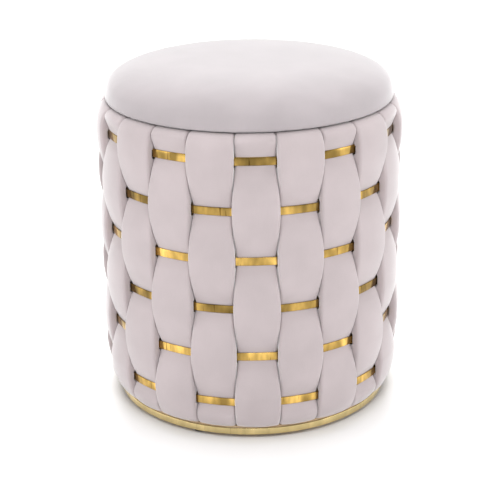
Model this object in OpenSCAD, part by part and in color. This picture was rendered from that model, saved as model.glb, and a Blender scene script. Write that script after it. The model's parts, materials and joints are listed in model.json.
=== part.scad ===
// Round woven storage pouf: padded velvet straps woven over six metal hoops on a
// wooden drum, with a lift-off padded lid and a metal-edged plinth on glides.
// Millimetres, +Z up, origin at the centre of the footprint on the floor.

/* [Weave] */
// Outer radius of the metal hoops
hoop_r = 181; // [179.5:0.5:182.5]
// Number of vertical straps, an even number
strap_count = 22; // [20:2:24]
// Number of hoops
hoop_count = 6; // [4:1:7]
// Height of the lowest hoop's centre above the floor
hoop_low_z = 53; // [52:0.5:55]
// Distance from one hoop to the next
hoop_pitch = 60.9; // [59.5:0.1:61.5]
// Height of each hoop's strip
hoop_h = 10; // [9:0.5:10.5]
// Thickness of each hoop's strip
hoop_t = 1; // [0.8:0.1:1]
// How far a strap stands out beyond the hoop that it passes over
strap_rise = 10; // [8:0.5:11]
// Gap between neighbouring straps at the hoops
strap_gap = 0.7; // [0.6:0.1:1.2]

/* [Drum] */
// Outer radius of the bent plywood drum
drum_r = 172.5; // [171.5:0.5:172.5]
// Wall thickness of the drum
drum_t = 9; // [8:0.5:9]
// Height of the rim, which the lid rests on, above the highest hoop's centre
rim_rise = 31; // [30:0.5:34]

/* [Lid] */
// Largest radius of the lid cushion
lid_r = 179; // [177:0.5:180]
// Height of the lid's crown above the rim
lid_h = 46.5; // [42:0.5:52]
// Radius of the locating disc under the lid
plug_r = 155.5; // [152:0.5:156]

/* [Base] */
// Outer radius of the metal band round the plinth
band_r = 174.5; // [174:0.5:175.5]
// Height of the plinth's lower face above the floor
foot_h = 6; // [4:0.5:7]
// Number of glides under the plinth
foot_count = 5; // [4:1:6]

/* [Hidden] */
$fn = 96;

// Node names
function two(n) = str(n < 10 ? "0" : "", n);
STRAPS = [for (i = [1 : strap_count]) str("strap_", two(i))];
HOOPS = [for (i = [1 : hoop_count]) str("hoop_", i)];
FEET = [for (i = [1 : foot_count]) str("foot_", i)];

// Clearances
skin = 0.3;            // between a soft part and the hard part that it lies on
fabric_t = 1.2;        // thickness of the velvet with its backing
tail_t = 3;            // a strap's unstuffed end, folded velvet
hoop_half = hoop_h / 2 + 0.4;

// Straps
front = -90;                          // direction of the first strap's centre
strap_angle = 360 / strap_count;
gap_angle = strap_gap / hoop_r * 180 / PI;
fabric_angle = fabric_t / hoop_r * 180 / PI;
under_r = hoop_r - hoop_t - skin;     // outer face where a strap dives under a hoop
over_r = hoop_r + strap_rise;         // outer face where it rides over one
back_r = drum_r + skin;               // inner face against the drum
lift_r = hoop_r + skin;               // inner face where it rides over a hoop
lift_reach = 9;                       // how far beyond a hoop the inner face stays lifted
rim_z = hoop_low_z + (hoop_count - 1) * hoop_pitch + rim_rise;
plinth_t = 11;                        // height from the band's lower edge to the board's top
plinth_top = foot_h + plinth_t;
tail_z = plinth_top + skin;           // underside of the folded lower ends
drum_low = tail_z + tail_t + skin;
drum_high = rim_z - tail_t - skin;
bore_r = drum_r - drum_t;
tail_r = bore_r - skin;               // face of the upper tail against the drum's bore
tail_drop = 26;                       // how far the upper tail hangs down inside
bottom_tail = 11;                     // how far the lower tail runs in under the drum

// Outline steps
step_z = hoop_pitch / 8;
rim_in = 15;                          // how far the wall rolls inwards at the rim
rim_up = 28;                          // height over which it does so
tuck_up = 60;                         // height over which the wall tucks in at the plinth
tuck_r = band_r - 1;                  // outer face of the straps just above the band

function hoop_z(i) = hoop_low_z + i * hoop_pitch;
function clamp01(x) = min(1, max(0, x));

// A strap's kind is 0 where it passes over hoops 0, 2 and 4, and 1 where it passes over 1, 3 and 5.
// Distance to the nearest hoop that the strap passes over, and to the nearest that it passes under
function nearest(z, kind) = let (s = (z - hoop_low_z) / hoop_pitch - kind, m = s - 2 * round(s / 2))
    abs(m) * hoop_pitch;
function to_over(z, kind) = nearest(z, kind);
function to_under(z, kind) = nearest(z, kind + 1);

// Outer face of the weave at a height, before the rim and plinth corners
bulge = 0.75;                         // below 1 the strap swells out sooner beyond a hoop
function swell(d) = pow(sin(90 * clamp01((d - hoop_half) / (hoop_pitch - hoop_half))), bulge);
function weave_out(z, kind) = under_r + (over_r - under_r) * swell(to_under(z, kind));
// The two ends' roundings, as quarter ellipses that the outer face stays inside
function quarter(x) = sqrt(1 - pow(clamp01(x), 2));
function rim_roll(z) = over_r - rim_in * (1 - quarter(1 - (rim_z - z) / rim_up));
function tuck(z) = over_r - (over_r - tuck_r) * (1 - quarter(1 - (z - tail_z) / tuck_up));
function face_out(z, kind) = min(weave_out(z, kind), rim_roll(z), tuck(z));
function lift(d) = 0.5 + 0.5 * cos(180 * clamp01((d - hoop_half) / lift_reach));
function face_in(z, kind) = back_r + (lift_r - back_r) * lift(to_over(z, kind));

// Heights where the outline has a point: evenly up the wall, and on both edges of every hoop
function heights(low, high) = let (
    even = [for (z = low; z < high - 1; z = z + step_z) z],
    edges = [for (i = [0 : hoop_count - 1], s = [-1, 1]) hoop_z(i) + s * hoop_half],
    near = [for (z = even) if (min([for (e = edges) abs(z - e)]) > 2) z],
    inside = [for (e = edges) if (e > low && e < high) e]
) sorted(concat(near, inside, [high]));
function sorted(v) = len(v) < 2 ? v : let (
    middle = v[floor(len(v) / 2)],
    lower = [for (x = v) if (x < middle) x],
    higher = [for (x = v) if (x > middle) x]
) concat(sorted(lower), [middle], sorted(higher));
function reversed(v) = [for (i = [len(v) - 1 : -1 : 0]) v[i]];

// A strap's cross-section through the drum's axis: up the outer face, over the rim and down inside
// the bore, then back under the drum
rim_angles = [68, 78, 90];            // points on the last of the rim's rounding
tail_corner = 2;
function rim_point(a) = [over_r + rim_in * (cos(a) - 1), rim_z + rim_up * (sin(a) - 1)];
function strap_outline(kind) = let (
    wall = heights(tail_z, rim_z - 4),
    back = heights(tail_z + tail_t, rim_z - tail_t)
) concat(
    [for (z = wall) [face_out(z, kind), z]],
    [for (a = rim_angles) rim_point(a)],
    [[tail_r - tail_t + tail_corner, rim_z], [tail_r - tail_t, rim_z - tail_corner]],
    [[tail_r - tail_t, rim_z - tail_drop], [tail_r, rim_z - tail_drop], [tail_r, rim_z - tail_t]],
    [for (z = reversed(back)) [face_in(z, kind), z]],
    [[drum_r - bottom_tail, tail_z + tail_t], [drum_r - bottom_tail, tail_z]]
);
// The hollow for the foam, and the foam a little smaller than it by a clearance
foam_end = 6;                         // folded velvet beyond each end of the foam
foam_low = tail_z + tail_t + foam_end;
foam_high = rim_z - tail_t - foam_end;
function foam_outline(kind, clearance) = let (
    z = heights(foam_low, foam_high),
    kept = [for (h = z) min(max(h, foam_low + clearance), foam_high - clearance)]
) concat(
    [for (h = kept) [face_out(h, kind) - fabric_t - clearance, h]],
    [for (h = reversed(kept)) [face_in(h, kind) + fabric_t + clearance, h]]
);

// A sector of a turned outline, centred on a direction
module sector(direction, width) {
    rotate([0, 0, direction - width / 2]) rotate_extrude(angle = width) children();
}
module ring(inner, outer, low, high) {
    rotate_extrude() translate([inner, low]) square([outer - inner, high - low]);
}
module disc(radius, low, high) {
    translate([0, 0, low]) cylinder(r = radius, h = high - low);
}
// A piece turned to a direction and moved out from the axis
module placed(direction, radius) {
    rotate([0, 0, direction]) translate([radius, 0, 0]) children();
}
// Copies of a piece on a circle
module round_about(count, radius, first = 0) {
    for (i = [0 : count - 1]) placed(first + i * 360 / count, radius) children();
}

// Wood screws: a countersunk head under a straight shank, pointing up. The shank bites into a
// smaller pilot hole and passes through a larger clearance hole.
screw_r = 2;
pilot_r = screw_r - 0.4;
clearance_r = screw_r + 0.3;
head_r = screw_r + 2;
head_h = 2;
module wood_screw(low, high) {
    disc(screw_r, low, high);
    translate([0, 0, low]) cylinder(r1 = head_r, r2 = screw_r, h = head_h);
}
module screw_hole(low, high) {
    disc(clearance_r, low - 1, high + 1);
    translate([0, 0, low - 0.01]) cylinder(r1 = head_r + 0.5, r2 = clearance_r, h = head_h + 0.4);
}
// A staple: a crown with two legs pointing towards -X, its crown's underside at the origin
staple_w = 10;
staple_leg = 9;
wire = 0.8;
module staple() {
    legs = [-(staple_w - wire) / 2, (staple_w - wire) / 2];
    translate([0, -staple_w / 2, -wire / 2]) cube([wire, staple_w, wire]);
    for (y = legs) translate([-staple_leg, y - wire / 2, -wire / 2]) cube([staple_leg, wire, wire]);
}
// The same staple driven straight up, its crown just below the origin
module staple_up() { rotate([0, 90, 0]) staple(); }

// Straps: a velvet sleeve and its foam
strap_width = strap_angle - gap_angle;
function strap_kind(i) = i % 2;
function strap_direction(i) = front + i * strap_angle;
module strap(i) {
    color([0.86, 0.83, 0.83])
    difference() {
        sector(strap_direction(i), strap_width) polygon(strap_outline(strap_kind(i)));
        sector(strap_direction(i), strap_width - 2 * fabric_angle) polygon(foam_outline(strap_kind(i), 0));
    }
}
module strap_foam(kind) {
    color([0.93, 0.9, 0.72])
    for (i = [kind : 2 : strap_count - 1])
        sector(strap_direction(i), strap_width - 3 * fabric_angle) polygon(foam_outline(kind, 0.2));
}

// Staples that hold the straps' ends to the drum, two to each end
staple_top_z = rim_z - tail_drop + 7;
staple_spread = strap_angle / 4;
strap_staple_directions = [
    for (i = [0 : strap_count - 1], s = [-1, 1]) strap_direction(i) + s * staple_spread
];
module strap_staples_top() {
    color("silver")
    for (a = strap_staple_directions)
        rotate([0, 0, a]) translate([tail_r - tail_t, 0, staple_top_z]) mirror([1, 0, 0]) staple();
}
module strap_staples_bottom() {
    color("silver")
    for (a = strap_staple_directions)
        rotate([0, 0, a]) translate([drum_r - drum_t / 2, 0, tail_z + wire]) staple_up();
}

// Hoops: open strips, closed at the back by a joiner with two rivets, hidden under a strap
slit_w = 0.6;
slit = slit_w / hoop_r * 180 / PI;
joiner_w = 26;
joiner_t = 1;
joiner_r = hoop_r - hoop_t - 0.2;     // outer face of the joiner
rivet_r = 1.5;
rivet_head_r = 2.6;
rivet_head_t = 0.7;
back_strap = strap_count / 2;
function joint_direction(i) = strap_direction(back_strap + (back_strap + i) % 2);
module hoop(i) {
    color([0.83, 0.63, 0.22])
    sector(joint_direction(i) + 180, 360 - slit)
        translate([hoop_r - hoop_t, hoop_z(i) - hoop_h / 2]) square([hoop_t, hoop_h]);
}
module hoop_joiners() {
    color([0.7, 0.55, 0.25])
    for (i = [0 : hoop_count - 1]) sector(joint_direction(i), joiner_w / hoop_r * 180 / PI)
        translate([joiner_r - joiner_t, hoop_z(i) - hoop_h / 2 + 1]) square([joiner_t, hoop_h - 2]);
}
module rivet() {
    low = joiner_r - joiner_t - rivet_head_t - 0.1;
    rotate([0, 90, 0]) {
        disc(rivet_r, low, hoop_r + 0.1);
        disc(rivet_head_r, low, low + rivet_head_t);
    }
}
module hoop_rivets() {
    reach = joiner_w / 4 / hoop_r * 180 / PI;
    color("silver")
    for (i = [0 : hoop_count - 1], s = [-1, 1])
        rotate([0, 0, joint_direction(i) + s * reach]) translate([0, 0, hoop_z(i)]) rivet();
}

// Drum and its boards
bottom_t = 12;
pilot_end = 2;                        // wood left above a pilot hole
plinth_screw_r = 110;
module drum_shell() {
    color([0.8, 0.66, 0.46])
    ring(bore_r, drum_r, drum_low, drum_high);
}
module bottom_board() {
    color([0.8, 0.66, 0.46])
    difference() {
        disc(bore_r - skin, drum_low, drum_low + bottom_t);
        round_about(foot_count, plinth_screw_r)
            disc(pilot_r, drum_low - 1, drum_low + bottom_t - pilot_end);
    }
}
// The lining: a cloth wall that steps in over the straps' stapled ends, and a covered floor
lining_t = 0.6;
lining_wide = bore_r - skin;
lining_narrow = tail_r - tail_t - wire - skin;
lining_step = rim_z - tail_drop;
lining_top = rim_z - 9;
floor_z = drum_low + bottom_t + 0.2;
floor_t = 2.4;
function lining_face(inset) = [
    [lining_wide - inset, floor_z + floor_t + skin],
    [lining_wide - inset, lining_step - 8],
    [lining_narrow - inset, lining_step - 1],
    [lining_narrow - inset, lining_top]
];
module lining_wall() {
    color([0.35, 0.34, 0.34])
    rotate_extrude() polygon(concat(lining_face(0), reversed(lining_face(lining_t))));
}
module lining_floor() {
    color([0.35, 0.34, 0.34])
    disc(lining_wide, floor_z, floor_z + floor_t);
}

// Plinth: a board edged with a metal band, screwed up into the drum's bottom board
band_t = 1.2;
band_lip = 2.5;                       // how far below the board's top the band stops
board_low = foot_h + 0.5;
foot_ring_r = 158;
foot_r = 10;
foot_first = front + 46;
foot_bore_r = 1.8;
foot_recess_r = 4.2;
foot_recess_h = 2.4;
foot_screw_r = 1.45;
foot_screw_head_r = 3.6;
foot_pilot_r = foot_screw_r - 0.3;
module plinth_board() {
    color([0.8, 0.66, 0.46])
    difference() {
        disc(band_r - band_t - skin, board_low, plinth_top);
        round_about(foot_count, plinth_screw_r) screw_hole(board_low, plinth_top);
        round_about(foot_count, foot_ring_r, foot_first) disc(foot_pilot_r, board_low - 1, plinth_top - 1);
    }
}
module plinth_band() {
    color([0.83, 0.67, 0.33])
    ring(band_r - band_t, band_r, foot_h, plinth_top - band_lip);
}
module plinth_screws() {
    color("silver")
    round_about(foot_count, plinth_screw_r)
        wood_screw(board_low + 0.1, drum_low + bottom_t - pilot_end - 0.5);
}
dust_t = 0.5;                         // thickness of the black cloth that hides the boards
module plinth_dust_cover() {
    color([0.12, 0.12, 0.12])
    difference() {
        disc(foot_ring_r - foot_r - 2, board_low - dust_t - 0.1, board_low - 0.1);
        round_about(foot_count, plinth_screw_r) disc(head_r + 0.5, 0, board_low);
    }
}
// A glide: a turned foot with a recess for its screw
module foot(i) {
    top = board_low - 0.1;
    color([0.1, 0.1, 0.1])
    placed(foot_first + i * 360 / foot_count, foot_ring_r)
    rotate_extrude() polygon([
        [foot_recess_r, 0], [foot_r - 1.5, 0], [foot_r - 0.4, 0.5], [foot_r, 1.6], [foot_r - 0.6, top],
        [foot_bore_r, top], [foot_bore_r, foot_recess_h], [foot_recess_r, foot_recess_h]
    ]);
}
module foot_screws() {
    color("silver")
    round_about(foot_count, foot_ring_r, foot_first) {
        disc(foot_screw_r, foot_recess_h - 0.3, plinth_top - 1.5);
        disc(foot_screw_head_r, foot_recess_h - 1.5, foot_recess_h - 0.2);
    }
}

// Lid: a velvet cover over foam on a board, with a locating disc under it
lid_low = rim_z + skin;
lid_top = rim_z + lid_h;
lid_edge_z = lid_low + 6;             // height of the cushion's widest line
lid_seat_r = lid_r - 2;               // radius of its flat underside
lid_corner = 1.5;
cover_tail = 28;                      // how far the cover runs in under the board
top_flat = 0.5;                       // below 1 the top is flatter than an ellipse's
side_flat = 0.7;                      // below 1 the side is more upright than an ellipse's
lid_board_r = lid_r - 7;
lid_board_t = 12;
lid_board_low = lid_low + fabric_t + 0.2;
// The cushion's half outline, inset from the outside, down to its underside
function crown(t, inset) = [
    (lid_r - inset) * pow(cos(t), top_flat),
    lid_edge_z + (lid_top - lid_edge_z - inset) * pow(sin(t), side_flat)
];
function cushion(inset) = concat(
    [[0, lid_low + inset], [lid_seat_r - inset - lid_corner, lid_low + inset]],
    [[lid_seat_r - inset, lid_low + inset + lid_corner]],
    [for (t = [0 : 3 : 90]) crown(t, inset)]
);
module lid_cover() {
    color([0.9, 0.87, 0.88])
    rotate_extrude() difference() {
        polygon(cushion(0));
        polygon(cushion(fabric_t));
        square([lid_seat_r - cover_tail, lid_board_low]);
    }
}
module lid_foam() {
    color([0.93, 0.9, 0.72])
    rotate_extrude() difference() {
        polygon(cushion(fabric_t + 0.2));
        square([lid_board_r + skin, lid_board_low + lid_board_t + 0.2]);
    }
}
lid_screw_count = 6;
lid_screw_ring_r = 120;
plug_t = 12;
plug_high = lid_low - dust_t - 0.2;
plug_low = plug_high - plug_t;
module lid_board() {
    top = lid_board_low + lid_board_t;
    color([0.8, 0.66, 0.46])
    difference() {
        disc(lid_board_r, lid_board_low, top);
        round_about(lid_screw_count, lid_screw_ring_r) disc(pilot_r, lid_board_low - 1, top - pilot_end);
    }
}
module lid_plug() {
    color([0.8, 0.66, 0.46])
    difference() {
        disc(plug_r, plug_low, plug_high);
        round_about(lid_screw_count, lid_screw_ring_r) screw_hole(plug_low, plug_high);
    }
}
module lid_dust_cover() {
    color([0.12, 0.12, 0.12])
    difference() {
        disc(plug_r + 2.5, plug_high + 0.1, lid_low - 0.1);
        round_about(lid_screw_count, lid_screw_ring_r) disc(clearance_r, plug_high - 1, lid_low + 1);
    }
}
module lid_screws() {
    color("silver")
    round_about(lid_screw_count, lid_screw_ring_r)
        wood_screw(plug_low + 0.1, lid_board_low + lid_board_t - pilot_end - 0.5);
}
lid_staple_count = 36;
module lid_staples() {
    color("silver")
    for (i = [0 : lid_staple_count - 1])
        placed((i + 0.5) * 360 / lid_staple_count, plug_r + 1.2)
            translate([0, 0, plug_high + 0.1]) staple_up();
}

for (i = [0 : strap_count - 1]) strap(i);
for (i = [0 : hoop_count - 1]) hoop(i);
for (i = [0 : foot_count - 1]) foot(i);
strap_foam(0);  // strap_foam_odd
strap_foam(1);  // strap_foam_even
strap_staples_top();
strap_staples_bottom();
hoop_joiners();
hoop_rivets();
drum_shell();
bottom_board();
lining_wall();
lining_floor();
plinth_board();
plinth_band();
plinth_screws();
plinth_dust_cover();
foot_screws();
lid_cover();
lid_foam();
lid_board();
lid_plug();
lid_dust_cover();
lid_screws();
lid_staples();
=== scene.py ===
"""A round storage pouf: padded velvet straps woven over gold hoops, with a padded lift-off lid."""
import json
import math
import random

import bmesh
import bpy
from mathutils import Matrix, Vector, noise

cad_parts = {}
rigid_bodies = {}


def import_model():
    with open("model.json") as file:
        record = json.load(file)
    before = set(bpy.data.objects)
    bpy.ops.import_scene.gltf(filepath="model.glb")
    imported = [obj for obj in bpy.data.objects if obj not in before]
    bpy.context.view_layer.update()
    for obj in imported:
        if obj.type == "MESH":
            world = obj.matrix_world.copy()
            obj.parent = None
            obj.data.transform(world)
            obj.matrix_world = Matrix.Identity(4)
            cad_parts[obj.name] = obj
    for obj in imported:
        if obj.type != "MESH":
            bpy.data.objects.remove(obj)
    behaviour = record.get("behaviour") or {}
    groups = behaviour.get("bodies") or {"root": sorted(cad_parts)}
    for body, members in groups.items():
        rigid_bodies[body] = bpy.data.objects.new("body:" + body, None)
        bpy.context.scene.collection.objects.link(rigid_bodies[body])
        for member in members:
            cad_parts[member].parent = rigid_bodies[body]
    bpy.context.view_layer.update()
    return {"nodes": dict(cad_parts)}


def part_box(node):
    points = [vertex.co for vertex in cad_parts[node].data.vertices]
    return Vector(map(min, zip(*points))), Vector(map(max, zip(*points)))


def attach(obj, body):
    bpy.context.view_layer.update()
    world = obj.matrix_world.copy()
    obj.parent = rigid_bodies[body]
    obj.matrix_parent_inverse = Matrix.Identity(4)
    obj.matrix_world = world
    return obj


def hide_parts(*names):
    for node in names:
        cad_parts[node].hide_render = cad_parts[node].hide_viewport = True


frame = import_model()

MM = 0.001

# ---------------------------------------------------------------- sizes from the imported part


def numbered(prefix):
    """The nodes called prefix and a number, in order."""
    return sorted(n for n in frame["nodes"] if n.startswith(prefix) and n[len(prefix):].isdigit())


def low_z(node):
    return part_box(node)[0].z


def high_z(node):
    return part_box(node)[1].z


def radius(node):
    """The radius of a round node that is centred on the Z axis."""
    low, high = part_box(node)
    return (high.x - low.x) / 2


STRAPS = numbered("strap_")
HOOPS = numbered("hoop_")
FEET = numbered("foot_")

FULL_TURN = 2 * math.pi
QUARTER_TURN = math.pi / 2
STRAP_ANGLE = FULL_TURN / len(STRAPS)
FRONT = -QUARTER_TURN                    # direction of the first strap's centre
HOOP_Z = [(low_z(h) + high_z(h)) / 2 for h in HOOPS]
HOOP_PITCH = HOOP_Z[1] - HOOP_Z[0]
HOOP_H = high_z(HOOPS[0]) - low_z(HOOPS[0])
HOOP_R = radius(HOOPS[0])
HOOP_T = 1 * MM                          # a box doesn't give a thickness, so these two repeat part.scad's
DRUM_T = 9 * MM
DRUM_R = radius("drum_shell")
DRUM_LOW = low_z("drum_shell")
DRUM_HIGH = high_z("drum_shell")
RIM_Z = high_z(STRAPS[0])
TAIL_Z = low_z(STRAPS[0])
BAND_R = radius("plinth_band")
LID_R = radius("lid_cover")
LID_LOW = low_z("lid_cover")
LID_TOP = high_z("lid_cover")

# ---------------------------------------------------------------- small helpers


def clamp01(x):
    return min(1.0, max(0.0, x))


def smoothstep(x):
    x = clamp01(x)
    return x * x * (3 - 2 * x)


def polar(angle, r, z):
    return Vector((r * math.cos(angle), r * math.sin(angle), z))


def new_object(name, mesh, body, material):
    """An object for a mesh, riding on a body, with its material."""
    piece = bpy.data.objects.new(name, mesh)
    bpy.context.scene.collection.objects.link(piece)
    mesh.materials.append(material)
    for face in mesh.polygons:
        face.use_smooth = True
    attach(piece, body)
    return piece


def tube_mesh(name, rings, closed_path=False):
    """A mesh through rings of points, each ring closed. An open path's ends are capped."""
    points = [p for ring in rings for p in ring]
    around = len(rings[0])
    faces = []
    steps = len(rings) if closed_path else len(rings) - 1
    for k in range(steps):
        here = k * around
        there = (k + 1) % len(rings) * around
        for j in range(around):
            nxt = (j + 1) % around
            faces.append((here + j, here + nxt, there + nxt, there + j))
    if not closed_path:
        faces.append(tuple(range(around - 1, -1, -1)))
        faces.append(tuple(len(points) - around + j for j in range(around)))
    mesh = bpy.data.meshes.new(name)
    mesh.from_pydata(points, [], faces)
    outward(mesh)
    return mesh


def outward(mesh):
    """Turns every face of a closed mesh to look outwards."""
    bm = bmesh.new()
    bm.from_mesh(mesh)
    bmesh.ops.recalc_face_normals(bm, faces=bm.faces)
    bm.to_mesh(mesh)
    bm.free()


def joined(name, meshes):
    """One mesh made of several."""
    bm = bmesh.new()
    for mesh in meshes:
        bm.from_mesh(mesh)
        bpy.data.meshes.remove(mesh)
    mesh = bpy.data.meshes.new(name)
    bm.to_mesh(mesh)
    bm.free()
    return mesh


SEED_SHIFT = (13.7, 5.1, 9.3)            # takes each seed to a part of the noise of its own


def rippled(point, size, seed):
    """Smooth noise from -1 to 1, whose bumps are about size across."""
    return noise.noise(point / size + Vector([seed * shift for shift in SEED_SHIFT]))


# ---------------------------------------------------------------- materials

WHITE = (1, 1, 1)
WAVE_PERIOD = 0.31                       # how far apart the ridges of a wave texture of scale 1 are


def grey(level):
    return (level, level, level)


def tinted(colour, factor):
    return tuple(min(1.0, c * factor) for c in colour)


class Shader:
    """A Principled material with its texture nodes, built a node at a time."""

    def __init__(self, name, colour, roughness, **sockets):
        self.material = bpy.data.materials.new(name)
        self.material.use_nodes = True
        self.material.diffuse_color = (*colour, 1)
        self.tree = self.material.node_tree
        self.main = self.tree.nodes["Principled BSDF"]
        self.main.inputs["Base Color"].default_value = (*colour, 1)
        self.main.inputs["Roughness"].default_value = roughness
        for key, value in sockets.items():
            self.main.inputs[key.replace("_", " ")].default_value = value
        self.place = self.tree.nodes.new("ShaderNodeTexCoord").outputs["Object"]
        self.height = None

    def link(self, output, socket):
        self.tree.links.new(output, socket)

    def stretched(self, scale):
        """The object's coordinates, scaled along each axis."""
        node = self.tree.nodes.new("ShaderNodeMapping")
        self.link(self.place, node.inputs["Vector"])
        node.inputs["Scale"].default_value = scale
        return node.outputs["Vector"]

    def noise(self, size, detail=3.0, scale=(1, 1, 1), roughness=0.5):
        """Noise whose bumps are about size across, from 0 to 1."""
        node = self.tree.nodes.new("ShaderNodeTexNoise")
        self.link(self.stretched(scale), node.inputs["Vector"])
        node.inputs["Scale"].default_value = 1 / size
        node.inputs["Detail"].default_value = detail
        node.inputs["Roughness"].default_value = roughness
        return node.outputs["Fac"]

    def waves(self, size, direction, distortion=0.0):
        """Even ridges a size apart, from 0 to 1."""
        node = self.tree.nodes.new("ShaderNodeTexWave")
        self.link(self.place, node.inputs["Vector"])
        node.bands_direction = direction
        node.inputs["Scale"].default_value = WAVE_PERIOD / size
        node.inputs["Distortion"].default_value = distortion
        node.inputs["Detail"].default_value = 2.0
        return node.outputs["Fac"]

    def cells(self, size):
        """Distance from the middle of each of many small cells."""
        node = self.tree.nodes.new("ShaderNodeTexVoronoi")
        self.link(self.place, node.inputs["Vector"])
        node.inputs["Scale"].default_value = 1 / size
        return node.outputs["Distance"]

    def ramp(self, value, stops):
        """A value turned into a colour by stops of (position, colour)."""
        node = self.tree.nodes.new("ShaderNodeValToRGB")
        self.link(value, node.inputs["Fac"])
        elements = node.color_ramp.elements
        for element, (position, colour) in zip(elements, (stops[0], stops[-1])):
            element.position = position
            element.color = (*colour, 1)
        for position, colour in stops[1:-1]:
            elements.new(position).color = (*colour, 1)
        return node.outputs["Color"]

    def levels(self, value, low, high):
        """A value from 0 to 1 turned into one from low to high."""
        node = self.tree.nodes.new("ShaderNodeMapRange")
        self.link(value, node.inputs["Value"])
        node.inputs["To Min"].default_value = low
        node.inputs["To Max"].default_value = high
        return node.outputs["Result"]

    def times(self, a, b):
        """Two colours multiplied."""
        node = self.tree.nodes.new("ShaderNodeMix")
        node.data_type = "RGBA"
        node.blend_type = "MULTIPLY"
        node.inputs["Factor"].default_value = 1.0
        self.link(a, node.inputs["A"])
        self.link(b, node.inputs["B"])
        return node.outputs["Result"]

    def colour(self, output):
        self.link(output, self.main.inputs["Base Color"])

    def roughness(self, value, low, high):
        self.link(self.levels(value, low, high), self.main.inputs["Roughness"])

    def bump(self, value, depth, strength=1.0):
        """Raises the surface by a value, up to depth, over any bump before it."""
        node = self.tree.nodes.new("ShaderNodeBump")
        node.inputs["Strength"].default_value = strength
        node.inputs["Distance"].default_value = depth
        self.link(value, node.inputs["Height"])
        if self.height is not None:
            self.link(self.height, node.inputs["Normal"])
        self.height = node.outputs["Normal"]
        self.link(self.height, self.main.inputs["Normal"])


def velvet(name, colour):
    """Short-pile velvet: nap mottling, faint ribs up the cloth, a fine pile and a soft sheen."""
    shader = Shader(name, colour, 0.86, Sheen_Weight=1.0, Sheen_Roughness=0.38, Specular_IOR_Level=0.2)
    mottle = shader.noise(45 * MM, detail=2)
    ribs = shader.noise(1.2 * MM, detail=1, scale=(1, 1, 0.06))
    pile = shader.noise(0.5 * MM, detail=2, roughness=0.7)
    nap = shader.ramp(mottle, [(0.3, tinted(colour, 0.95)), (0.7, tinted(colour, 1.04))])
    grain = shader.ramp(ribs, [(0.3, grey(0.985)), (0.7, WHITE)])
    specks = shader.ramp(pile, [(0.25, grey(0.96)), (0.7, WHITE)])
    shader.colour(shader.times(shader.times(nap, grain), specks))
    shader.roughness(mottle, 0.8, 0.92)
    shader.bump(mottle, 0.15 * MM, 0.4)
    shader.bump(ribs, 0.02 * MM, 0.5)
    shader.bump(pile, 0.08 * MM, 0.6)
    return shader.material


def polished(name, colour, reflection_contrast):
    """Polished plated metal with painted reflections: lighter and darker spots, thin stripes across the
    strip and a wider dimming; smudges and polishing lines.
    """
    shader = Shader(name, colour, 0.12, Metallic=1.0)
    # The next three noises place painted reflections: a wide dimming, lighter and darker spots, and thin
    # stripes across the strip.
    drift = shader.noise(70 * MM, detail=1)
    reflection_patches = shader.noise(15 * MM, detail=2, scale=(1, 1, 0.4))
    reflection_streaks = shader.noise(2.4 * MM, detail=1, scale=(1, 1, 0.07))
    smudge = shader.noise(24 * MM, detail=4)
    lines = shader.noise(0.5 * MM, detail=2, scale=(0.04, 0.04, 1))
    # Colours of the painted reflections: the dimmer spots, the painted highlights and the brown-black
    # stripes.
    dim_reflection = tinted(colour, 1 - 0.35 * reflection_contrast)
    bright_reflection = tinted(colour, 1 + 0.6 * reflection_contrast)
    dark_reflection = (1 - 0.5 * reflection_contrast, 1 - 0.55 * reflection_contrast, 1 - 0.6 * reflection_contrast)
    # painted reflections and highlights, made into the base colour
    tone = shader.ramp(reflection_patches, [(0.36, dim_reflection), (0.52, colour), (0.68, bright_reflection)])
    shade = shader.ramp(drift, [(0.38, grey(1 - 0.3 * reflection_contrast)), (0.62, WHITE)])
    streak_reflections = shader.ramp(reflection_streaks, [(0.28, dark_reflection), (0.33, WHITE)])
    shader.colour(shader.times(shader.times(tone, shade), streak_reflections))
    shader.roughness(smudge, 0.08, 0.2)
    shader.bump(reflection_patches, 0.2 * MM, 0.5)
    shader.bump(lines, 0.01 * MM, 0.35)
    return shader.material


def plywood(name):
    """Birch plywood: long grain, darker flecks and the thin lines of its plies."""
    colour = (0.63, 0.46, 0.28)
    shader = Shader(name, colour, 0.6)
    grain = shader.noise(6 * MM, detail=6, scale=(0.12, 1, 0.6))
    plies = shader.waves(1.6 * MM, "Z", 0.3)
    fleck = shader.noise(1.2 * MM, detail=2, scale=(0.2, 1, 1))
    wood = shader.ramp(grain, [(0.3, (0.5, 0.34, 0.19)), (0.5, colour), (0.75, (0.72, 0.56, 0.37))])
    layers = shader.ramp(plies, [(0.2, (0.88, 0.86, 0.84)), (0.6, WHITE)])
    shader.colour(shader.times(wood, layers))
    shader.roughness(fleck, 0.5, 0.7)
    shader.bump(fleck, 0.1 * MM, 0.4)
    return shader.material


def foam(name):
    """Open-cell upholstery foam."""
    colour = (0.82, 0.77, 0.55)
    shader = Shader(name, colour, 0.95)
    holes = shader.cells(1.1 * MM)
    aged = shader.noise(60 * MM)
    shader.colour(shader.ramp(aged, [(0.3, tinted(colour, 0.9)), (0.7, colour)]))
    shader.bump(holes, 0.5 * MM, 0.8)
    return shader.material


def woven_cloth(name, colour, thread):
    """A plain weave, its threads running both ways."""
    shader = Shader(name, colour, 0.9, Sheen_Weight=0.12, Sheen_Roughness=0.5)
    across = shader.waves(thread, "Z", 0.4)
    around = shader.waves(thread, "DIAGONAL", 0.4)
    slub = shader.noise(5 * MM, detail=3, scale=(1, 1, 0.25))
    weave = shader.times(across, around)
    tone = shader.ramp(slub, [(0.3, tinted(colour, 0.8)), (0.7, tinted(colour, 1.2))])
    threads = shader.ramp(weave, [(0.0, grey(0.72)), (0.6, WHITE)])
    shader.colour(shader.times(tone, threads))
    shader.bump(weave, 0.15 * MM, 0.6)
    shader.bump(slub, 0.2 * MM, 0.5)
    return shader.material


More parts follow.
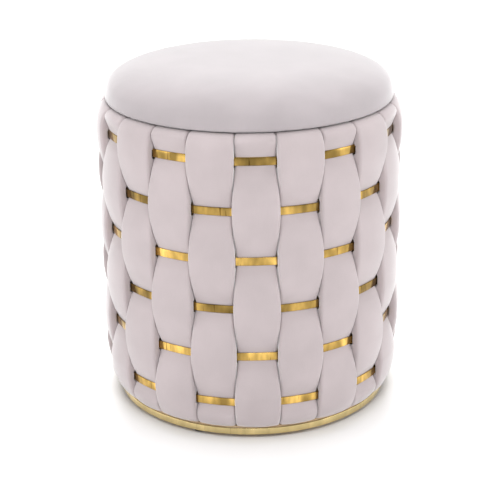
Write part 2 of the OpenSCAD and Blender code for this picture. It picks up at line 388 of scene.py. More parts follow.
def felted_cloth(name):
    """Black non-woven dust cloth, pressed with small dimples."""
    colour = (0.018, 0.018, 0.019)
    shader = Shader(name, colour, 0.95, Sheen_Weight=0.2, Sheen_Roughness=0.6)
    dimples = shader.cells(2.2 * MM)
    fibres = shader.noise(1 * MM, detail=4, roughness=0.7)
    shader.colour(shader.ramp(fibres, [(0.3, tinted(colour, 0.6)), (0.7, tinted(colour, 2.0))]))
    shader.bump(dimples, 0.3 * MM, 0.6)
    shader.bump(fibres, 0.1 * MM, 0.5)
    return shader.material


def moulded(name):
    """Black moulded plastic with a fine matt texture and scuffs."""
    colour = (0.02, 0.02, 0.021)
    shader = Shader(name, colour, 0.5)
    scuff = shader.noise(4 * MM, detail=5)
    grain = shader.noise(0.35 * MM, detail=1)
    shader.colour(shader.ramp(scuff, [(0.4, colour), (0.8, grey(0.06))]))
    shader.roughness(scuff, 0.4, 0.65)
    shader.bump(grain, 0.04 * MM, 0.5)
    return shader.material


def bare_steel(name):
    """Zinc-plated steel wire and screws."""
    colour = (0.55, 0.55, 0.56)
    shader = Shader(name, colour, 0.3, Metallic=1.0)
    spangle = shader.cells(1.5 * MM)
    dull = shader.noise(3 * MM, detail=3)
    shader.colour(shader.ramp(spangle, [(0.1, tinted(colour, 0.85)), (0.6, tinted(colour, 1.1))]))
    shader.roughness(dull, 0.22, 0.45)
    shader.bump(dull, 0.03 * MM, 0.5)
    return shader.material


STRAP_VELVET = velvet("strap_velvet", (0.495, 0.431, 0.438))
# The lid is the straps' velvet set darker and a little less pink: painted shade on the lid.
LID_VELVET = velvet("lid_velvet", (0.425, 0.384, 0.396))
# set darker than bare gold: painted shade in the hoops' reflections
HOOP_COLOUR = (0.52, 0.335, 0.093)
HOOP_REFLECTION_LEVELS = (1.05, 1.1, 0.72, 1.0, 0.75, 0.75)     # painted reflection: how much lighter or darker each hoop's gold is set, hoop by hoop from the lowest
# a copy of the gold for each hoop, lighter or darker by its painted reflection level
HOOP_GOLDS = [
    polished(f"hoop_gold_{number}", tinted(HOOP_COLOUR, shade), 1.1)
    for number, shade in enumerate(HOOP_REFLECTION_LEVELS, start=1)
]
BAND_GOLD = polished("band_gold", (0.68, 0.54, 0.26), 0.3)
JOINER_GOLD = polished("joiner_gold", (0.5, 0.35, 0.12), 0.6)
PLYWOOD = plywood("birch_plywood")
FOAM = foam("cushion_foam")
LINING = woven_cloth("lining_cloth", (0.16, 0.15, 0.15), 0.9 * MM)
DUST_CLOTH = felted_cloth("dust_cloth")
GLIDE_PLASTIC = moulded("glide_plastic")
STEEL = bare_steel("zinc_steel")

CAD_LOOKS = {
    "drum_shell": PLYWOOD, "bottom_board": PLYWOOD, "plinth_board": PLYWOOD,
    "lid_board": PLYWOOD, "lid_plug": PLYWOOD,
    "hoop_joiners": JOINER_GOLD, "hoop_rivets": STEEL,
    "strap_staples_top": STEEL, "strap_staples_bottom": STEEL, "lid_staples": STEEL,
    "plinth_screws": STEEL, "foot_screws": STEEL, "lid_screws": STEEL,
    **{foot: GLIDE_PLASTIC for foot in FEET},
}


def dress(node, material):
    """Gives a CAD node that stays its material."""
    for slot in bpy.data.objects[node].material_slots:
        slot.material = material


# ---------------------------------------------------------------- the weave's outline

SKIN = 0.3 * MM                         # between a strap and the hard part that it lies on
TAIL_T = 3 * MM                         # a strap's unstuffed end
STRAP_END_Z = RIM_Z - 26 * MM           # the upper end hangs down to here inside the drum
TAIL_IN = 11 * MM                       # how far the lower end runs in under the drum
STRAP_RISE = 10 * MM                    # how far a strap stands out beyond a hoop it crosses
RIM_IN = 15 * MM                        # how far the wall rolls inwards at the rim
RIM_UP = 28 * MM                        # height over which it does so
TUCK_UP = 60 * MM                       # height over which the wall tucks in at the plinth
BULGE = 0.75                            # below 1 a strap swells out sooner beyond a hoop
HOOP_HALF = HOOP_H / 2 + 0.8 * MM        # a strap starts to swell just clear of the hoop's edge
UNDER_R = HOOP_R - HOOP_T - SKIN         # a strap's face where a hoop holds it down
OVER_R = HOOP_R + STRAP_RISE             # its face where it crosses over a hoop
BACK_R = DRUM_R + SKIN                   # its back against the drum
LIFT_R = HOOP_R + SKIN                   # its back where it lies on a hoop
LIFT_REACH = 7 * MM                      # how far beyond the hoop its back comes down to the drum
TUCK_R = BAND_R - 1 * MM                 # its face at the plinth
LOW_WALL = TAIL_Z + TUCK_UP * 0.5        # the wall's plain part runs from here
HIGH_WALL = RIM_Z - RIM_UP               # to here


def to_hoop(z, kind):
    """Distance to the nearest hoop of a kind: 0 for the first, third and fifth, 1 for the rest."""
    s = (z - HOOP_Z[0]) / HOOP_PITCH - kind
    return abs(s - 2 * round(s / 2)) * HOOP_PITCH


def swell(z, kind):
    """0 where a strap of this kind is held down by a hoop, 1 where it crosses over one."""
    away = (to_hoop(z, kind + 1) - HOOP_HALF) / (HOOP_PITCH - HOOP_HALF)
    return math.sin(QUARTER_TURN * clamp01(away)) ** BULGE


def quarter(x):
    """The height of a quarter circle: 1 at x = 0 and below, 0 at x = 1 and above."""
    return math.sqrt(1 - clamp01(x) ** 2)


def rim_roll(z):
    """The radius that the wall's face may reach at a height near the rim."""
    return OVER_R - RIM_IN * (1 - quarter(1 - (RIM_Z - z) / RIM_UP))


def tuck(z):
    """The same near the plinth."""
    return OVER_R - (OVER_R - TUCK_R) * (1 - quarter(1 - (z - TAIL_Z) / TUCK_UP))


def face_out(z, kind, fullness):
    """The radius of a strap's face."""
    woven = UNDER_R + (OVER_R - UNDER_R) * fullness * swell(z, kind)
    return min(woven, rim_roll(z), tuck(z))


def face_in(z, kind):
    """The radius of a strap's back."""
    away = clamp01((to_hoop(z, kind) - HOOP_HALF) / LIFT_REACH)
    return BACK_R + (LIFT_R - BACK_R) * (0.5 + 0.5 * math.cos(math.pi * away))


# ---------------------------------------------------------------- straps

STRAP_HALF = HOOP_R * STRAP_ANGLE / 2    # half of the hoops' share for one strap
STRAP_GAP = 0.8 * MM                     # between neighbours, before WAVER
WAVER = 1.8 * MM                         # how much wider a strap is where it crosses a hoop
STATION = 2.4 * MM                       # spacing of a strap's cross-sections
LOW_STEPS = 7                            # cross-sections between the tail and the wall's plain part
ROLL_STEPS = 14                          # cross-sections on the roll at the rim
ROLL_LEAD = 2                            # how many of them early its back gets to the drum's top
CHAMFER = 1 * MM                         # size of the small bevels where a strap turns a corner
EASE_PASSES = 3                          # how often the line through the two ends is smoothed
FACE_CROWN = 1.1 * MM                    # how much a strap's face is domed across
OUTER_ROUND = 3.4 * MM                   # roundness of the long outer edges
INNER_ROUND = 2.0 * MM                   # and of the inner ones
OUTER_SHARE = 0.55                       # the most of a thin strap's thickness that they take
INNER_SHARE = 0.3
CORNER_STEPS = 5
FACE_STEPS = 10
BACK_STEPS = 5
FIRST_SEED = 100
FULLNESS = (0.97, 1.03)                  # range of how well a strap is stuffed
STUFFED_OVER = 3 * MM                    # thickness beyond the tail's at which a strap counts as stuffed
CROWN_OVER = 12 * MM                     # distance from a hoop over which the crown builds up
LUMP_OVER = 4 * MM                       # and over which the lumps do
LUMP_DEPTH = 0.35 * MM
LUMP_SIZE = 38 * MM
PUCKER_DEPTH = 0.35 * MM                 # gathers where a hoop pinches the strap
PUCKER_SIZES = (7, 10)                   # range of their size, in millimetres
PUCKER_STRETCH = 0.3                     # below 1 they are longer than wide
PUCKER_REACH = 6 * MM                    # how far from the hoop they fade
PUCKER_START = 2.5 * MM


def half_width(z, kind):
    """Half a strap's width: widest where it crosses over a hoop, and even beyond the end hoops."""
    z = min(max(z, HOOP_Z[0]), HOOP_Z[-1])
    waver = WAVER * math.cos(math.pi * to_hoop(z, kind) / HOOP_PITCH)
    return STRAP_HALF - STRAP_GAP / 2 + waver


def section(width, thick, crown):
    """A strap's closed cross-section as (across, out, share of the outer face) points."""
    outer = min(OUTER_ROUND, OUTER_SHARE * thick)
    inner = min(INNER_ROUND, INNER_SHARE * thick)
    flat = width - outer
    lip = crown * (1 - (flat / width) ** 2)
    face = []
    for j in range(FACE_STEPS + 1):
        x = flat * (2 * j / FACE_STEPS - 1)
        face.append((x, thick + crown * (1 - (x / width) ** 2), 1))
    side = []
    for j in range(1, CORNER_STEPS + 1):
        a = QUARTER_TURN * j / CORNER_STEPS
        out = thick - outer + (outer + lip) * math.cos(a)
        side.append((flat + outer * math.sin(a), out, math.cos(a)))
    for j in range(CORNER_STEPS):
        a = QUARTER_TURN * j / (CORNER_STEPS - 1)
        side.append((width - inner + inner * math.cos(a), inner - inner * math.sin(a), 0))
    back = [((width - inner) * (1 - 2 * j / BACK_STEPS), 0, 0) for j in range(1, BACK_STEPS)]
    other_side = [(-x, y, share) for x, y, share in reversed(side)]
    return face + side + back + other_side


def evened(line, step):
    """Pairs a step apart along a line of (back, face) pairs, measured on the face."""
    points = [line[0]]
    for (back_a, face_a), (back_b, face_b) in zip(line, line[1:]):
        count = max(1, round((face_b - face_a).length / step))
        for j in range(1, count + 1):
            t = j / count
            points.append((back_a.lerp(back_b, t), face_a.lerp(face_b, t)))
    return points


def eased(line, passes):
    """The same line with its corners smoothed, its two ends left alone."""
    for _ in range(passes):
        middle = [
            tuple((a[k] + 2 * b[k] + c[k]) / 4 for k in (0, 1))
            for a, b, c in zip(line, line[1:], line[2:])
        ]
        line = [line[0], *middle, line[-1]]
    return line


def pair(inner_r, inner_z, outer_r, outer_z):
    """A point of a strap's back and the point of its face across from it."""
    return Vector((inner_r, inner_z)), Vector((outer_r, outer_z))


def low_line(kind, fullness):
    """The tail under the drum and the tuck above it."""
    tail_top = TAIL_Z + TAIL_T
    tail_r = DRUM_R - TAIL_IN
    line = [
        pair(tail_r, tail_top, tail_r, TAIL_Z),
        pair(BACK_R - 2 * CHAMFER, tail_top, TUCK_R - 2 * CHAMFER, TAIL_Z),
    ]
    for k in range(1, LOW_STEPS):
        z = TAIL_Z + (LOW_WALL - TAIL_Z) * (k / LOW_STEPS) ** 2
        back_z = tail_top + (LOW_WALL - tail_top) * k / LOW_STEPS
        line.append(pair(BACK_R, back_z, face_out(z, kind, fullness), z))
    return line


def wall_line(kind, fullness):
    """The woven wall."""
    count = round((HIGH_WALL - LOW_WALL) / STATION)
    line = []
    for k in range(count + 1):
        z = LOW_WALL + (HIGH_WALL - LOW_WALL) * k / count
        line.append(pair(face_in(z, kind), z, face_out(z, kind, fullness), z))
    return line


def rim_line(kind, fullness):
    """The roll over the rim and the end that hangs down inside."""
    drum_top = RIM_Z - TAIL_T
    line = []
    for k in range(1, ROLL_STEPS + 1):
        z = HIGH_WALL + RIM_UP * math.sin(QUARTER_TURN * k / ROLL_STEPS)
        back_z = HIGH_WALL + (drum_top - HIGH_WALL) * min(1, k / (ROLL_STEPS - ROLL_LEAD))
        back_r = BACK_R - CHAMFER * max(0, k - ROLL_STEPS + ROLL_LEAD)
        line.append(pair(back_r, back_z, face_out(z, kind, fullness), z))
    bore = DRUM_R - DRUM_T - SKIN
    return line + [
        pair(bore + CHAMFER, drum_top, bore + CHAMFER, RIM_Z),
        pair(bore, drum_top - CHAMFER, bore - TAIL_T + CHAMFER, RIM_Z - CHAMFER),
        pair(bore, drum_top - 4 * CHAMFER, bore - TAIL_T, drum_top - 2 * CHAMFER),
        pair(bore, STRAP_END_Z, bore - TAIL_T, STRAP_END_Z),
    ]


def rib_line(kind, fullness):
    """(back, face) pairs of (radius, height), from the tail under the drum to the end inside it."""
    wall = wall_line(kind, fullness)
    low = eased(evened(low_line(kind, fullness), STATION), EASE_PASSES)
    rim = eased(evened([wall[-1], *rim_line(kind, fullness)], STATION), EASE_PASSES)
    return low + wall + rim[1:]


def strap_mesh(index):
    """A padded velvet strap, from its tail under the drum, over and under the hoops, to the rim."""
    kind = index % 2
    chance = random.Random(FIRST_SEED + index)
    fullness = chance.uniform(*FULLNESS)
    centre = FRONT + index * STRAP_ANGLE
    pucker_size = chance.uniform(*PUCKER_SIZES) * MM
    rings = []
    for back, face in rib_line(kind, fullness):
        rib = face - back
        thick = rib.length
        height = (back.y + face.y) / 2
        width = half_width(height, kind)
        stuffed = smoothstep((thick - TAIL_T) / STUFFED_OVER)
        pinch = to_hoop(height, kind + 1) - HOOP_HALF
        crown = FACE_CROWN * stuffed * smoothstep(pinch / CROWN_OVER)
        lumpy = LUMP_DEPTH * stuffed * smoothstep(pinch / LUMP_OVER)
        puckered = PUCKER_DEPTH * stuffed * smoothstep(pinch / PUCKER_START)
        puckered *= math.exp(-max(0.0, pinch) / PUCKER_REACH)
        ring = []
        for x, y, share in section(width, thick, crown):
            at = back + rib * (y / thick)
            angle = centre + x / HOOP_R
            lump = lumpy * rippled(polar(angle, at.x, at.y), LUMP_SIZE, index)
            along = Vector((x, pinch * PUCKER_STRETCH, 0))
            pucker = puckered * rippled(along, pucker_size, index)
            at = at + rib.normalized() * (share * (lump + pucker))
            ring.append(polar(angle, at.x, at.y))
        rings.append(ring)
    return tube_mesh(STRAPS[index], rings)


def build_straps():
    """Every strap of the weave."""
    for index, node in enumerate(STRAPS):
        piece = new_object(f"velvet_{node}", strap_mesh(index), "base", STRAP_VELVET)
        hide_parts(node)


CORE_INSET = 1.6 * MM                    # the foam inside a strap is this much smaller all round
CORE_SHORT = 8 * MM                      # and stops this far short of the drum's ends
CORE_FULLNESS = 0.96
CORE_LOW = DRUM_LOW + CORE_SHORT
CORE_HIGH = DRUM_HIGH - CORE_SHORT


def core_mesh(index):
    """The foam inside one strap."""
    kind = index % 2
    centre = FRONT + index * STRAP_ANGLE
    count = round((CORE_HIGH - CORE_LOW) / (2 * STATION))
    rings = []
    for k in range(count + 1):
        z = CORE_LOW + (CORE_HIGH - CORE_LOW) * k / count
        back = face_in(z, kind) + CORE_INSET
        thick = face_out(z, kind, CORE_FULLNESS) - CORE_INSET - back
        width = half_width(z, kind) - CORE_INSET
        rings.append([polar(centre + x / HOOP_R, back + y, z) for x, y, _ in section(width, thick, 0)])
    return tube_mesh(f"core_{index}", rings)


def build_cores():
    """The foam of every second strap is one node."""
    for node, first in (("strap_foam_odd", 0), ("strap_foam_even", 1)):
        mesh = joined(node, [core_mesh(i) for i in range(first, len(STRAPS), 2)])
        piece = new_object(f"stuffing_{node}", mesh, "base", FOAM)
        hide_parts(node)


# ---------------------------------------------------------------- hoops and band

EDGE_STEPS = 3                           # points less one on each rounded edge of a strip


def strip_profile(low, high, inner, outer, edge):
    """A flat strip's cross-section as (radius, height) points, its long edges rounded."""
    # the middle of each rounded edge, and the direction in which it starts
    corners = [
        (inner + edge, low + edge, math.pi),
        (outer - edge, low + edge, 3 * QUARTER_TURN),
        (outer - edge, high - edge, 0),
        (inner + edge, high - edge, QUARTER_TURN),
    ]
    points = []
    for r, z, start in corners:
        for j in range(EDGE_STEPS + 1):
            a = start + QUARTER_TURN * j / EDGE_STEPS
            points.append((r + edge * math.cos(a), z + edge * math.sin(a)))
    return points


def strip_mesh(name, profile, start, turn, count, sway):
    """A strip bent round the Z axis. sway gives the strip's shift outwards at an angle and height."""
    closed = turn == FULL_TURN
    rings = []
    for k in range(count):
        angle = start + turn * k / (count if closed else count - 1)
        rings.append([polar(angle, r + sway(angle, z), z) for r, z in profile])
    return tube_mesh(name, rings, closed_path=closed)


HOOP_EDGE = 0.35 * MM                    # roundness of a hoop's edges
HOOP_STEPS = 480
JOINT_SLIT = 0.6 * MM                    # between a hoop's two ends
WAVE_DEPTH = 0.1 * MM                    # a hoop is a little wavy, as straps press on it from inside
WAVE_SIZE = 30 * MM
LEAN_DEPTH = 0.25 * MM                   # and leans in and out a little
LEAN_SIZE = 22 * MM
LEAN_SEED = 50


def build_hoops():
    """Thin sprung strips, each closed behind a strap at the back."""
    for i, node in enumerate(HOOPS):
        low, high = HOOP_Z[i] - HOOP_H / 2, HOOP_Z[i] + HOOP_H / 2
        profile = strip_profile(low, high, HOOP_R - HOOP_T, HOOP_R, HOOP_EDGE)
        back = len(STRAPS) // 2
        joint = FRONT + (back + (back + i) % 2) * STRAP_ANGLE
        slit = JOINT_SLIT / HOOP_R

        def sway(angle, z, i=i):
            around = polar(angle, HOOP_R, 0)
            lean = (z - HOOP_Z[i]) / HOOP_H * rippled(around, LEAN_SIZE, i + LEAN_SEED)
            return WAVE_DEPTH * rippled(around, WAVE_SIZE, i) + LEAN_DEPTH * lean

        mesh = strip_mesh(node, profile, joint + slit / 2, FULL_TURN - slit, HOOP_STEPS, sway)
        gold = HOOP_GOLDS[i % len(HOOP_GOLDS)]
        piece = new_object(f"gold_{node}", mesh, "base", gold)
        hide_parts(node)


BAND_T = 1.2 * MM
BAND_EDGE = 0.5 * MM
BAND_WAVE_DEPTH = 0.06 * MM
BAND_WAVE_SIZE = 45 * MM
BAND_WAVE_RISE = 4 * BAND_R              # how fast the waves change with height, against along the band
BAND_SEED = 90


def build_band():
    """The metal band round the plinth."""
    low, high = low_z("plinth_band"), high_z("plinth_band")
    profile = strip_profile(low, high, BAND_R - BAND_T, BAND_R, BAND_EDGE)

    def sway(angle, z):
        around = polar(angle, BAND_R, z * BAND_WAVE_RISE)
        return BAND_WAVE_DEPTH * rippled(around, BAND_WAVE_SIZE, BAND_SEED)

    mesh = strip_mesh("plinth_band_strip", profile, FRONT, FULL_TURN, HOOP_STEPS, sway)
    piece = new_object("gold_plinth_band", mesh, "base", BAND_GOLD)
    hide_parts("plinth_band")


# ---------------------------------------------------------------- lid

LID_SEAT_R = LID_R - 2 * MM             # radius of the lid's flat underside
LID_EDGE_Z = LID_LOW + 6 * MM           # height of its widest line
TOP_FLAT = 0.5                          # below 1 the top is flatter than an ellipse's
SIDE_FLAT = 0.7                         # below 1 the side is more upright than an ellipse's
SLACK = 2 * MM                          # how much lower the cushion starts, as it swells
VOXEL = 5 * MM
SWELL_FRAMES = 12
SWELL_LIMIT = 2 * MM                    # how far the point that moves most may move
FILL_SHARE = 0.85                       # how much of the outline lost in remeshing is put back
SEAT_LIFT = 2 * MM                      # points this close to the underside stay in place
SEAT_RINGS = 12                         # rings of points on the underside
SEAT_BEVEL = 1.2 * MM                   # bevel at the underside's edge, across
SEAT_BEVEL_UP = 1 * MM                  # and up
CROWN_RINGS = 40
CROWN_SPREAD = 0.8                      # below 1 its lower rings lie further apart
CROWN_EYE = 8 * MM                      # radius of the flat spot in the middle of the top
LID_STEPS = 192
UNDERSIDE = -0.75                       # a point whose normal points further down is on the underside
PLEAT_COUNT = 84                        # pleats where the cover is stapled under the lid
PLEAT_DEPTH = 0.8 * MM
PLEAT_FROM = 152 * MM                   # radius at which they start
PLEAT_RISE = 8 * MM                     # distance over which they get to their full depth
PLEAT_FALL = 9 * MM                     # and, at the edge, back to none
PLEAT_DRIFT = 3.6                       # unevenness of their spacing, in radians of one pleat's wave
PLEAT_DRIFT_SIZE = 1 / 9                # the smaller, the oftener it changes on the way round


def lid_curve(t):
    """A point of the cushion's outline: t is 0 at its widest line and a quarter turn at the top."""
    rise = LID_TOP - SLACK - LID_EDGE_Z
    return LID_R * math.cos(t) ** TOP_FLAT, LID_EDGE_Z + rise * math.sin(t) ** SIDE_FLAT


def lathe(name, outline, steps):
    """A closed solid turned about the Z axis from (radius, height) points, up from the lowest."""
    points = [Vector((0, 0, outline[0][1]))]
    for k in range(steps):
        points += [polar(FULL_TURN * k / steps, r, z) for r, z in outline]
    top = len(points)
    points.append(Vector((0, 0, outline[-1][1])))
    size = len(outline)
    faces = []
    for k in range(steps):
        here = 1 + k * size
        there = 1 + (k + 1) % steps * size
        faces.append((0, there, here))
        faces += [(here + j, there + j, there + j + 1, here + j + 1) for j in range(size - 1)]
        faces.append((here + size - 1, there + size - 1, top))
    mesh = bpy.data.meshes.new(name)
    mesh.from_pydata(points, [], faces)
    outward(mesh)
    return mesh


def modified(piece, kind, **values):
    """Adds a modifier and bakes it into the piece's mesh."""
    modifier = piece.modifiers.new(kind.lower(), kind)
    for key, value in values.items():
        setattr(modifier, key, value)
    bake(piece)


def bake(piece):
    """Puts what the modifiers make of a piece into its mesh, and takes them off."""
    depsgraph = bpy.context.evaluated_depsgraph_get()
    mesh = bpy.data.meshes.new_from_object(piece.evaluated_get(depsgraph))
    old = piece.data
    piece.modifiers.clear()
    piece.data = mesh
    mesh.name = piece.name
    bpy.data.meshes.remove(old)


def inflated(piece, held):
    """Swells a closed cushion as cloth with air pressure. held says which points stay in place."""
    start = [v.co.copy() for v in piece.data.vertices]
    group = piece.vertex_groups.new(name="held")
    group.add([i for i, p in enumerate(start) if held(p)], 1.0, "REPLACE")
    cloth = piece.modifiers.new("cloth", "CLOTH")
    cloth.settings.vertex_group_mass = "held"
    cloth.settings.quality = 6
    cloth.settings.mass = 0.4
    cloth.settings.tension_stiffness = 40
    cloth.settings.compression_stiffness = 40
    cloth.settings.bending_stiffness = 4
    cloth.settings.use_pressure = True
    cloth.settings.uniform_pressure_force = 4
    cloth.settings.effector_weights.gravity = 0
    cloth.point_cache.frame_end = SWELL_FRAMES
    for step in range(1, SWELL_FRAMES + 1):
        bpy.context.scene.frame_set(step)
    bake(piece)
    piece.vertex_groups.clear()
    bpy.context.scene.frame_set(1)
    moves = [v.co - before for v, before in zip(piece.data.vertices, start)]
    share = min(1, SWELL_LIMIT / max(move.length for move in moves))
    for v, before, move in zip(piece.data.vertices, start, moves):
        v.co = before + move * share


def filled_out(point):
    """A point above the widest line, drawn most of the way back to the cushion's outline."""
    if point.z <= LID_EDGE_Z:
        return point
    rise = point.z - LID_EDGE_Z
    wide = (math.hypot(point.x, point.y) / LID_R) ** (2 / TOP_FLAT)
    tall = (rise / (LID_TOP - LID_EDGE_Z)) ** (2 / SIDE_FLAT)
    # wide + tall is 1 on the outline, and this growth brings a point that is near onto it
    total = wide + tall
    growth = total ** (-total / (2 * (wide / TOP_FLAT + tall / SIDE_FLAT)))
    growth = 1 + FILL_SHARE * (growth - 1)
    return Vector((point.x * growth, point.y * growth, LID_EDGE_Z + rise * growth))


def squared(vertex):
    """A point of the lid's lower edge, put back on the outline that remeshing rounded off."""
    point = vertex.co
    if point.z > LID_EDGE_Z or vertex.normal.z < UNDERSIDE:
        return point
    drop = clamp01((LID_EDGE_Z - point.z) / (LID_EDGE_Z - LID_LOW))
    wanted = LID_R - (LID_R - LID_SEAT_R) * drop ** 2
    share = wanted / math.hypot(point.x, point.y)
    return Vector((point.x * share, point.y * share, point.z))


def pleated(point):
    """A point of the lid's underside, moved into the pleats that the stapled cover makes."""
    r = math.hypot(point.x, point.y)
    near = smoothstep((r - PLEAT_FROM) / PLEAT_RISE) * smoothstep((LID_SEAT_R - r) / PLEAT_FALL)
    if point.z > LID_LOW + SEAT_BEVEL_UP or near == 0:
        return point
    angle = math.atan2(point.y, point.x)
    drift = PLEAT_DRIFT * noise.noise(polar(angle, 1, 0) / PLEAT_DRIFT_SIZE)
    pleat = 0.5 - 0.5 * math.cos(angle * PLEAT_COUNT + drift)
    return Vector((point.x, point.y, point.z + PLEAT_DEPTH * near * pleat))


def build_lid():
    """The velvet cushion, stapled under its board: swollen over the top, pleated below."""
    outline = [(LID_SEAT_R * k / SEAT_RINGS, LID_LOW) for k in range(1, SEAT_RINGS)]
    outline += [(LID_SEAT_R - SEAT_BEVEL, LID_LOW), (LID_SEAT_R, LID_LOW + SEAT_BEVEL_UP)]
    outline += [lid_curve(QUARTER_TURN * (k / CROWN_RINGS) ** CROWN_SPREAD) for k in range(CROWN_RINGS)]
    outline.append((CROWN_EYE, lid_curve(QUARTER_TURN)[1]))
    mesh = lathe("lid_cushion", outline, LID_STEPS)
    piece = new_object("lid_cushion", mesh, "lid", LID_VELVET)
    modified(piece, "REMESH", mode="VOXEL", voxel_size=VOXEL, use_smooth_shade=True)
    modified(piece, "SMOOTH", factor=0.5, iterations=4)
    inflated(piece, held=lambda p: p.z < LID_LOW + SEAT_LIFT)
    modified(piece, "SUBSURF", levels=1, render_levels=1)
    for v, place in [(v, pleated(squared(v))) for v in piece.data.vertices]:
        v.co = filled_out(place)
        v.co.z = max(v.co.z, LID_LOW)
    for face in piece.data.polygons:
        face.use_smooth = True
    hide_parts("lid_cover", "lid_foam")


# ---------------------------------------------------------------- linings and dust covers

CLOTH_T = 0.4 * MM
LINING_STEP = 4.1 * MM                  # how far the lining steps in over the straps' ends
LINING_STEP_FROM = STRAP_END_Z - 8 * MM
LINING_STEP_UP = 7 * MM                 # height over which it does so
LINING_LEVELS = 40
LINING_STEPS = 240
FOLD_R = 0.8 * MM                       # roundness of the fold at its top
FOLD_IN = 0.5 * MM
FOLD_STEPS = 8
LOOSE = 0.7 * MM                        # how far the lining stands off the drum where it is loose
LOOSE_LOW = 20 * MM                     # heights over which it comes loose, from its lower edge
LOOSE_HIGH = 30 * MM                    # and from its step
LOOSE_WAVES = (5, 4)                    # larger numbers make its waves shorter, round the drum and up
LINING_CLEAR = 0.1 * MM                 # how far it stands off everywhere
LINING_SEED = 30


def lining_r(z):
    step = smoothstep((z - LINING_STEP_FROM) / LINING_STEP_UP)
    return radius("lining_wall") - LINING_STEP * step


def build_lining_wall():
    """A cloth tube glued inside the drum, a little loose, its top edge folded over."""
    low, high = low_z("lining_wall"), high_z("lining_wall")
    levels = [low + (high - low) * k / LINING_LEVELS for k in range(LINING_LEVELS + 1)]
    turns = [math.pi * k / FOLD_STEPS for k in range(1, FOLD_STEPS + 1)]
    fold_r = lining_r(high) - FOLD_IN
    profile = [(lining_r(z), z) for z in levels]
    profile += [(fold_r + FOLD_R * math.cos(a), high + FOLD_R * math.sin(a)) for a in turns]
    profile += [(lining_r(z) - CLOTH_T, z) for z in reversed(levels[:-1])]
    across, up = LOOSE_WAVES

    def sway(angle, z):
        loose = smoothstep((z - low) / LOOSE_LOW) * smoothstep((STRAP_END_Z - z) / LOOSE_HIGH)
        around = polar(angle, across, z * up)
        return -LOOSE * loose * (1 + rippled(around, 1, LINING_SEED)) - LINING_CLEAR

    mesh = strip_mesh("lining_tube", profile, FRONT, FULL_TURN, LINING_STEPS, sway)
    piece = new_object("lining_tube", mesh, "base", LINING)
    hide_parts("lining_wall")


PAD_RINGS = 12                          # rings of points on the felt pad's underside
PAD_TOP_RINGS = 24                      # and on its top
PAD_EDGE_STEPS = 8
PAD_STEPS = 128
PAD_DIP = 0.2 * MM                      # unevenness of its top
PAD_DIP_SIZE = 50 * MM
PAD_SEED = 31


def build_lining_floor():
    """The cloth-covered felt on the drum's floor, softly rounded at its edge."""
    r = radius("lining_floor")
    low, high = low_z("lining_floor"), high_z("lining_floor")
    half = (high - low) / 2
    turns = [math.pi * (k / PAD_EDGE_STEPS - 0.5) for k in range(PAD_EDGE_STEPS + 1)]
    outline = [(r * k / PAD_RINGS, low) for k in range(1, PAD_RINGS)]
    outline += [(r - half + half * math.cos(a), low + half + half * math.sin(a)) for a in turns]
    outline += [(r * (1 - k / PAD_TOP_RINGS), high) for k in range(1, PAD_TOP_RINGS)]
    mesh = lathe("lining_pad", outline, PAD_STEPS)
    piece = new_object("lining_pad", mesh, "base", LINING)
    for v in piece.data.vertices:
        if v.co.z > high - half / 2:
            v.co.z -= PAD_DIP * (1 + rippled(v.co, PAD_DIP_SIZE, PAD_SEED))
    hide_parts("lining_floor")


SCREW_RING_R = 110 * MM                 # ring of screws through the plinth's dust cover
SCREW_HOLE_R = 4.6 * MM
COVER_STEPS = 96                        # points round a dust cover
HOLE_STEPS = 20                         # and round a screw hole
COVER_CUTS = 3                          # how often its long edges are split
COVER_EDGE = 12 * MM                    # an edge longer than this is split
COVER_SLACK = 0.5 * MM                  # how far the plinth's cover hangs
COVER_WAVE_SIZE = 40 * MM
COVER_SEED = 32


def circle_edges(bm, at, r, steps):
    """A ring of edges in the plane z = 0."""
    ring = [bm.verts.new(at + polar(FULL_TURN * k / steps, r, 0)) for k in range(steps)]
    return [bm.edges.new((a, b)) for a, b in zip(ring, ring[1:] + ring[:1])]


def round_cloth(node, body, holes, slack):
    """A round dust cover of thin black cloth with screw holes, hanging by up to its slack."""
    bm = bmesh.new()
    edges = circle_edges(bm, Vector((0, 0, 0)), radius(node), COVER_STEPS)
    for hole in holes:
        edges += circle_edges(bm, hole, SCREW_HOLE_R, HOLE_STEPS)
    bmesh.ops.triangle_fill(bm, use_beauty=True, use_dissolve=False, edges=edges)
    for _ in range(COVER_CUTS):
        long_edges = [e for e in bm.edges if e.calc_length() > COVER_EDGE]
        bmesh.ops.subdivide_edges(bm, edges=long_edges, cuts=1)
    bmesh.ops.triangulate(bm, faces=bm.faces)
    for v in bm.verts:
        sag = slack * (1 + rippled(v.co, COVER_WAVE_SIZE, COVER_SEED)) / 2
        v.co.z = high_z(node) - CLOTH_T / 2 - sag
    mesh = bpy.data.meshes.new(node)
    bm.to_mesh(mesh)
    bm.free()
    piece = new_object(f"cloth_{node}", mesh, body, DUST_CLOTH)
    modified(piece, "SOLIDIFY", thickness=CLOTH_T, offset=0)
    outward(piece.data)
    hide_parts(node)
    return piece


def build_dust_covers():
    """The plinth's cover, with a hole for each screw, and the lid's."""
    count = len(FEET)
    holes = [polar(FULL_TURN * k / count, SCREW_RING_R, 0) for k in range(count)]
    piece = round_cloth("plinth_dust_cover", "base", holes, COVER_SLACK)
    piece = round_cloth("lid_dust_cover", "lid", [], 0.0)


# ---------------------------------------------------------------- camera, floor and lights

CAMERA_AT = Vector((-0.0591, -1.7193, 0.8340))
CAMERA_TILT = (90 - 20.668, 0.616, -2.189)    # degrees about X, Y and Z
CAMERA_LENS = 102.2                           # millimetres, before a full-frame sensor
CAMERA_SENSOR = 36
CAMERA_SHIFT = (-0.0013, -0.0047)
CAMERA_NEAR = 0.05
CAMERA_FAR = 100


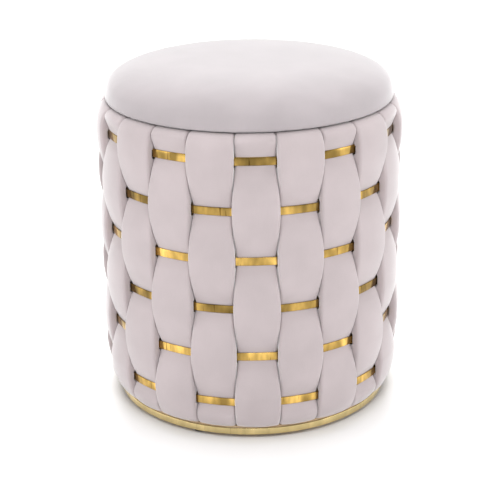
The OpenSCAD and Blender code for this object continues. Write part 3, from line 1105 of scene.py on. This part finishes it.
def build_camera():
    data = bpy.data.cameras.new("camera")
    data.lens = CAMERA_LENS
    data.sensor_width = CAMERA_SENSOR
    data.shift_x, data.shift_y = CAMERA_SHIFT
    data.clip_start = CAMERA_NEAR
    data.clip_end = CAMERA_FAR
    camera = bpy.data.objects.new("camera", data)
    bpy.context.scene.collection.objects.link(camera)
    camera.rotation_mode = "XYZ"
    camera.location = CAMERA_AT
    camera.rotation_euler = [math.radians(a) for a in CAMERA_TILT]
    bpy.context.scene.camera = camera


FLOOR_REACH = 30
SKY_LEVEL = 0.39                         # the even white light from all round
BACKDROP_LEVEL = 0.9                     # the same room where the camera looks straight at it
MIDDLE = (0, 0, 0.25)                    # the softboxes at the sides point here
UPPER_MIDDLE = (0, 0, 0.3)               # and the others here
# name: (place, target, diameter, watts)
SOFTBOXES = {
    "back_soft": ((0, 2.4, 1.7), UPPER_MIDDLE, 2.2, 48),
    "left_soft": ((-2.2, -0.6, 0.7), MIDDLE, 1.6, 14),
    "right_soft": ((2.2, -0.6, 0.7), MIDDLE, 1.6, 15),
    "high_soft": ((0, -2.2, 2.4), UPPER_MIDDLE, 1.4, 42),
}
OVERHEAD_FROM = (0, 0.5, 2.4)            # the broad light overhead, which reaches the whole floor
OVERHEAD_WIDTH = math.radians(45)
OVERHEAD_POWER = 1.9


def hang_light(data, place, target):
    """Puts a light in its place, turned to its target."""
    lamp = bpy.data.objects.new(data.name, data)
    bpy.context.scene.collection.objects.link(lamp)
    lamp.location = place
    lamp.rotation_mode = "QUATERNION"
    lamp.rotation_quaternion = (Vector(target) - Vector(place)).to_track_quat("-Z", "Y")
    lamp.visible_camera = False


def overhead():
    data = bpy.data.lights.new("overhead", "SUN")
    data.angle = OVERHEAD_WIDTH
    data.energy = OVERHEAD_POWER
    hang_light(data, OVERHEAD_FROM, UPPER_MIDDLE)


def softbox(name, place, target, diameter, watts):
    data = bpy.data.lights.new(name, "AREA")
    data.shape = "DISK"
    data.size = diameter
    data.energy = watts
    hang_light(data, place, target)


def build_floor():
    """A wide floor of matt white paper."""
    reach = FLOOR_REACH
    corners = [(-reach, -reach, 0), (reach, -reach, 0), (reach, reach, 0), (-reach, reach, 0)]
    mesh = bpy.data.meshes.new("floor")
    mesh.from_pydata(corners, [], [(0, 1, 2, 3)])
    floor = bpy.data.objects.new("floor", mesh)
    bpy.context.scene.collection.objects.link(floor)
    paper = Shader("studio_paper", grey(0.92), 0.7, Specular_IOR_Level=0.3)
    mesh.materials.append(paper.material)


def build_room():
    """An even white room, which the camera sees brighter than it lights the pouf."""
    world = bpy.data.worlds.new("studio")
    world.use_nodes = True
    tree = world.node_tree
    sky = tree.nodes["Background"]
    sky.inputs["Color"].default_value = (*WHITE, 1)
    seen = tree.nodes.new("ShaderNodeLightPath")
    strength = tree.nodes.new("ShaderNodeMapRange")
    strength.inputs["To Min"].default_value = SKY_LEVEL
    strength.inputs["To Max"].default_value = BACKDROP_LEVEL
    tree.links.new(seen.outputs["Is Camera Ray"], strength.inputs["Value"])
    tree.links.new(strength.outputs["Result"], sky.inputs["Strength"])
    bpy.context.scene.world = world
    bpy.context.scene.view_settings.view_transform = "Standard"


def build_lights():
    overhead()
    for name, (place, target, diameter, watts) in SOFTBOXES.items():
        softbox(name, place, target, diameter, watts)


# ---------------------------------------------------------------- the whole scene

build_camera()
build_floor()
build_room()
build_lights()
for node, look in CAD_LOOKS.items():
    dress(node, look)
build_straps()
build_cores()
build_hoops()
build_band()
build_lid()
build_lining_wall()
build_lining_floor()
build_dust_covers()
